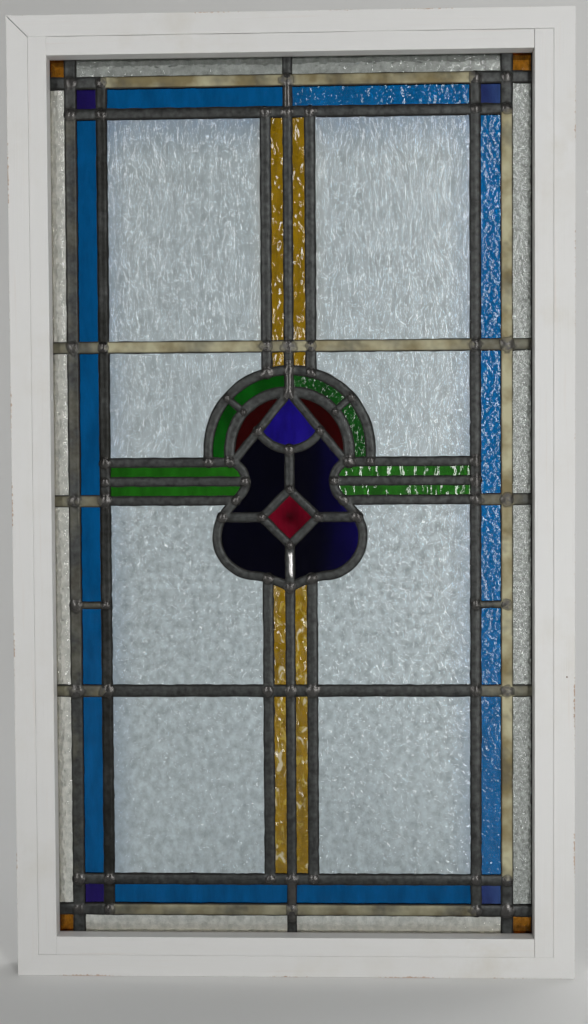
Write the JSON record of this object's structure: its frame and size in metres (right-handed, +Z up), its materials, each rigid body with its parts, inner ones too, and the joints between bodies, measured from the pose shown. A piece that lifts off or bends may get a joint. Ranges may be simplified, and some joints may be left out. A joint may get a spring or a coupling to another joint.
{
  "type": "stained glass window",
  "caption": "Leaded window of streaky clear and coloured glass with an arched motif, in a white painted wooden frame, made to be built in or hung.",
  "frame": {"origin": "middle of the frame's underside, where it sits on a sill", "axes": "+X across the window to the right as seen from the side with the glazing stops, +Y through the window away from that side, +Z up"},
  "size_m": [0.504, 0.038, 0.864],
  "materials": {
    "white_paint": "softwood under brushed white paint, lightly stained and worn at the edges",
    "lead": "dull grey lead came with a tan oxide on the border cames and bright solder at the joints",
    "clear_glass": "streaky hammered clear glass",
    "orange_glass": "orange cathedral glass",
    "purple_glass": "purple cathedral glass",
    "blue_glass": "azure cathedral glass with a rippled face",
    "amber_glass": "golden amber waterglass",
    "green_glass": "green cathedral glass",
    "red_glass": "dark red flashed glass",
    "violet_glass": "violet pot metal glass",
    "navy_glass": "navy glass, nearly black against the wall",
    "ruby_glass": "ruby glass with a darker eye"
  },
  "bodies": {
    "root": {"frame_board_top": "white_paint", "frame_board_bottom": "white_paint", "frame_board_left": "white_paint", "frame_board_right": "white_paint", "glazing_stop_top": "white_paint", "glazing_stop_bottom": "white_paint", "glazing_stop_left": "white_paint", "glazing_stop_right": "white_paint", "lead_cames": "lead", "glass_border_clear_top_left": "clear_glass", "glass_border_clear_top_right": "clear_glass", "glass_border_clear_bottom_left": "clear_glass", "glass_border_clear_bottom_right": "clear_glass", "glass_border_clear_side_left": "clear_glass", "glass_border_clear_side_right": "clear_glass", "glass_clear_top_left": "clear_glass", "glass_clear_top_right": "clear_glass", "glass_clear_upper_left": "clear_glass", "glass_clear_upper_right": "clear_glass", "glass_clear_lower_left": "clear_glass", "glass_clear_lower_right": "clear_glass", "glass_clear_bottom_left": "clear_glass", "glass_clear_bottom_right": "clear_glass", "glass_corner_amber_top_left": "orange_glass", "glass_corner_amber_top_right": "orange_glass", "glass_corner_amber_bottom_left": "orange_glass", "glass_corner_amber_bottom_right": "orange_glass", "glass_corner_purple_top_left": "purple_glass", "glass_corner_purple_top_right": "purple_glass", "glass_corner_purple_bottom_left": "purple_glass", "glass_corner_purple_bottom_right": "purple_glass", "glass_border_blue_top_left": "blue_glass", "glass_border_blue_top_right": "blue_glass", "glass_border_blue_bottom_left": "blue_glass", "glass_border_blue_bottom_right": "blue_glass", "glass_border_blue_side_left": "blue_glass", "glass_border_blue_side_right": "blue_glass", "glass_column_top_left": "amber_glass", "glass_column_top_right": "amber_glass", "glass_column_lower_left": "amber_glass", "glass_column_lower_right": "amber_glass", "glass_column_bottom_left": "amber_glass", "glass_column_bottom_right": "amber_glass", "glass_arm_green_top_left": "green_glass", "glass_arm_green_top_right": "green_glass", "glass_arm_green_low_left": "green_glass", "glass_arm_green_low_right": "green_glass", "glass_arch_green_haunch_left": "green_glass", "glass_arch_green_haunch_right": "green_glass", "glass_arch_green_crown_left": "green_glass", "glass_arch_green_crown_right": "green_glass", "glass_arch_red_left": "red_glass", "glass_arch_red_right": "red_glass", "glass_fan_violet": "violet_glass", "glass_motif_navy_upper_left": "navy_glass", "glass_motif_navy_upper_right": "navy_glass", "glass_motif_navy_lower_left": "navy_glass", "glass_motif_navy_lower_right": "navy_glass", "glass_jewel_ruby": "ruby_glass"}
  },
  "joints": []
}
